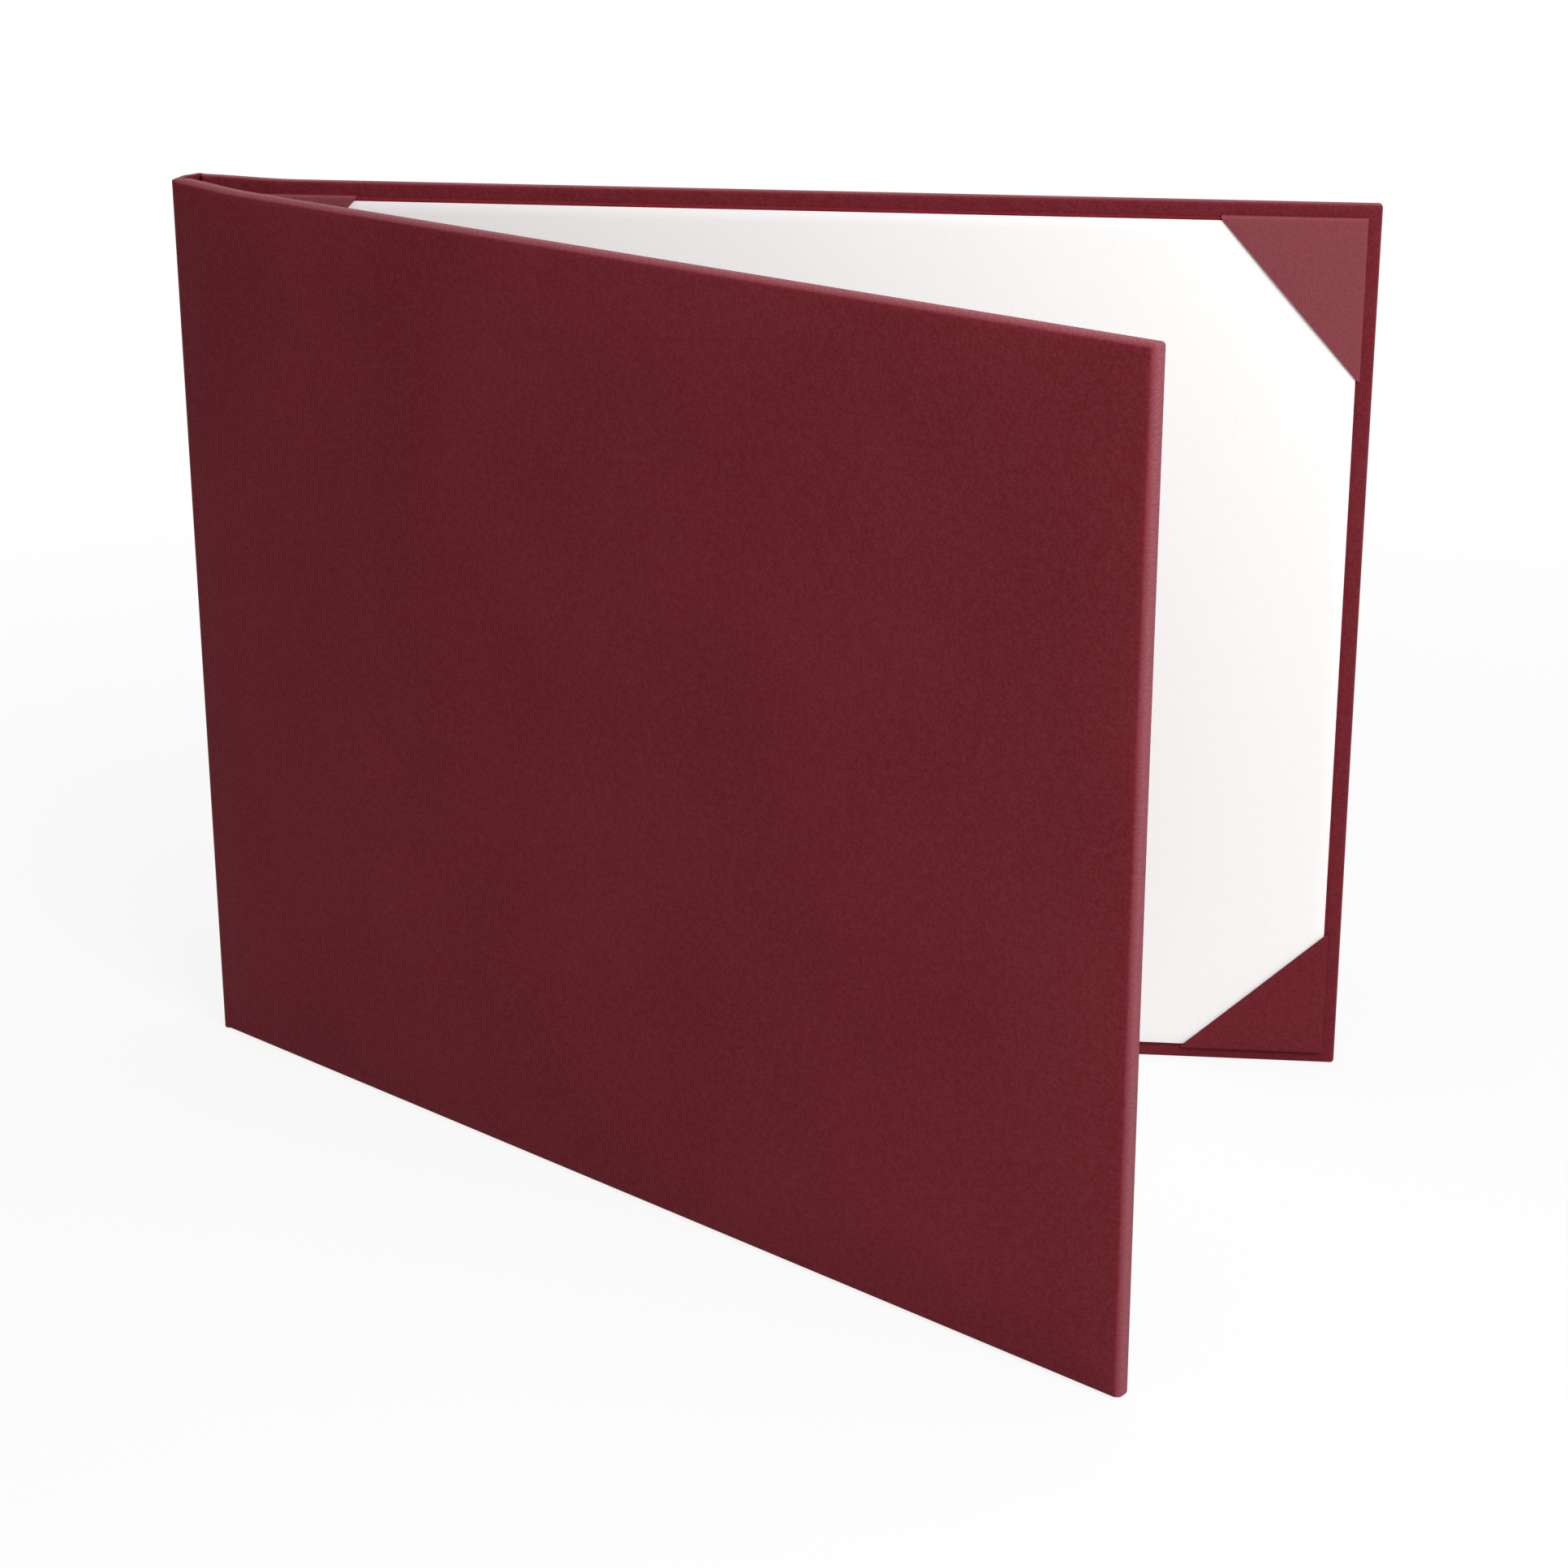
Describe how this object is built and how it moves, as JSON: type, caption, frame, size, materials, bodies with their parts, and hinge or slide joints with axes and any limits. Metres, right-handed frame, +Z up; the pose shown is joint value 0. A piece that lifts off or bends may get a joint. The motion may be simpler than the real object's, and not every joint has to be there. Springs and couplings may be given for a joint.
{
  "type": "diploma cover",
  "caption": "Padded leatherette book-style cover, landscape, standing open, with corner pockets inside that hold a blank certificate.",
  "frame": {"origin": "middle of the base of the box around the standing cover", "axes": "+Z up; the back cover lies along +X and its inner face looks towards -Y, where the viewer stands; the front cover swings out towards -Y from the fold at the low X end"},
  "size_m": [0.294, 0.1754, 0.2248],
  "materials": {
    "leatherette": "maroon leatherette, fine smooth grain, low sheen",
    "lining": "maroon lining, fine grain, low sheen",
    "paper": "matte white certificate paper",
    "foam": "off-white foam padding",
    "greyboard": "grey binder's board",
    "card": "buff card"
  },
  "bodies": {
    "back_cover": {"back_wrap": "leatherette", "back_padding": "foam", "back_board": "greyboard", "back_infill": "card", "back_panel_card": "card", "back_panel_lining": "lining", "certificate": "paper", "pocket_bottom_left": "leatherette", "pocket_bottom_right": "leatherette", "pocket_top_left": "leatherette", "pocket_top_right": "leatherette"},
    "spine": {"spine_wrap": "leatherette", "spine_padding": "foam", "spine_lining": "lining"},
    "front_cover": {"front_wrap": "leatherette", "front_padding": "foam", "front_board": "greyboard", "front_infill": "card", "front_panel_card": "card", "front_panel_lining": "lining"}
  },
  "joints": [
    {"name": "back_fold", "type": "hinge", "parent": "back_cover", "child": "spine", "pos_m": [-0.14355, 0.08771, 0.1124], "axis": [0, 0, -1], "range_deg": [-17.3, 72.7]},
    {"name": "front_fold", "type": "hinge", "parent": "spine", "child": "front_cover", "pos_m": [-0.147, 0.07664, 0.1124], "axis": [0, 0, -1], "range_deg": [-17.3, 72.7]}
  ]
}
